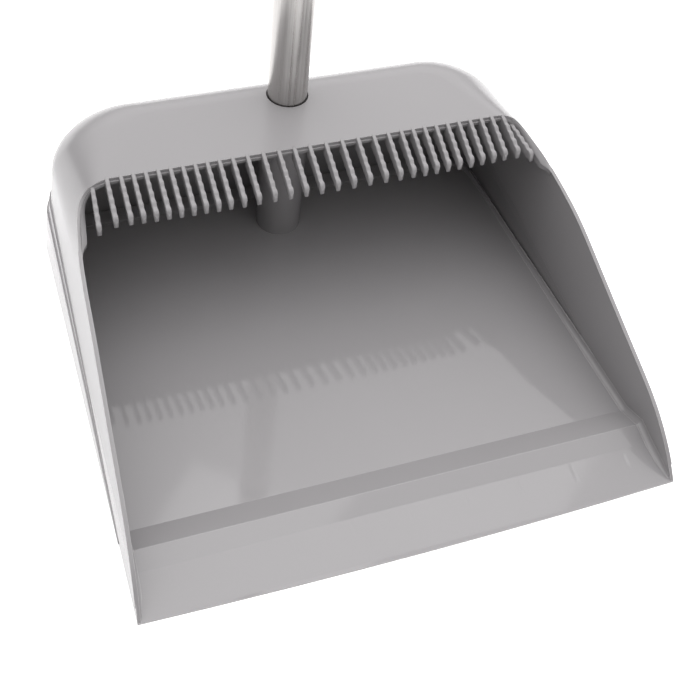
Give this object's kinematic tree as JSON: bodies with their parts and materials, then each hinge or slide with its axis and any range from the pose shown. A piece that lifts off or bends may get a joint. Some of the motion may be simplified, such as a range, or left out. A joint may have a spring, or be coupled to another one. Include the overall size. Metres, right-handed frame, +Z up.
{
  "type": "dustpan",
  "caption": "Long-handled upright dustpan: hooded bin with a brush-cleaning comb on the hood edge, and a sectional steel pole with broom clip, grip and hanging loop.",
  "frame": {"origin": "on the ground, under the middle of the pan's footprint", "axes": "-Y out over the lip, +Y to the back wall and the pole, +X to the right as seen from the front, +Z up the pole"},
  "size_m": [0.29, 0.2744, 0.8977],
  "materials": {
    "pan_plastic": "mid-grey moulded polypropylene, semi-gloss",
    "comb_plastic": "slightly lighter grey, softer moulded plastic, semi-gloss",
    "fitting_plastic": "dark grey, fine moulded texture",
    "clip_plastic": "grey, fine moulded texture",
    "grip_rubber": "dark grey soft-touch elastomer, ribbed",
    "pole_steel": "stainless tube, fine lengthwise brushing, bright",
    "bright_steel": "polished",
    "spring_steel": "hardened strip, plain"
  },
  "bodies": {
    "pan": {"pan_shell": "pan_plastic", "scraper_comb": "comb_plastic", "pole_socket": "pan_plastic"},
    "pole": {"foot_plug": "fitting_plastic", "lower_tube": "pole_steel", "lower_connector": "fitting_plastic", "lower_rivets": "bright_steel", "middle_tube": "pole_steel", "upper_connector": "fitting_plastic", "upper_rivets": "bright_steel", "upper_tube": "pole_steel", "grip_sleeve": "grip_rubber", "end_cap": "fitting_plastic"},
    "lower_button": {"lower_snap_button": "bright_steel", "lower_button_spring": "spring_steel"},
    "upper_button": {"upper_snap_button": "bright_steel", "upper_button_spring": "spring_steel"},
    "clip": {"broom_clip": "clip_plastic"},
    "loop": {"hanging_loop": "fitting_plastic"}
  },
  "joints": [
    {"name": "pole_lift", "type": "slide", "parent": "pan", "child": "pole", "axis": [0, 0, 1], "range_m": [0, 0.095]},
    {"name": "lower_button_press", "type": "slide", "parent": "pole", "child": "lower_button", "axis": [0, 1, 0], "range_m": [0, 0.0032], "stiffness_N_per_m": 1500, "springref_m": -0.002},
    {"name": "upper_button_press", "type": "slide", "parent": "pole", "child": "upper_button", "axis": [0, 1, 0], "range_m": [0, 0.0032], "stiffness_N_per_m": 1500, "springref_m": -0.002},
    {"name": "clip_swivel", "type": "hinge", "parent": "pole", "child": "clip", "pos_m": [0, 0.1037, 0.67469], "axis": [0, 0, 1], "continuous": true},
    {"name": "loop_swivel", "type": "hinge", "parent": "pole", "child": "loop", "pos_m": [0, 0.1037, 0.85569], "axis": [0, 0, 1], "continuous": true}
  ]
}
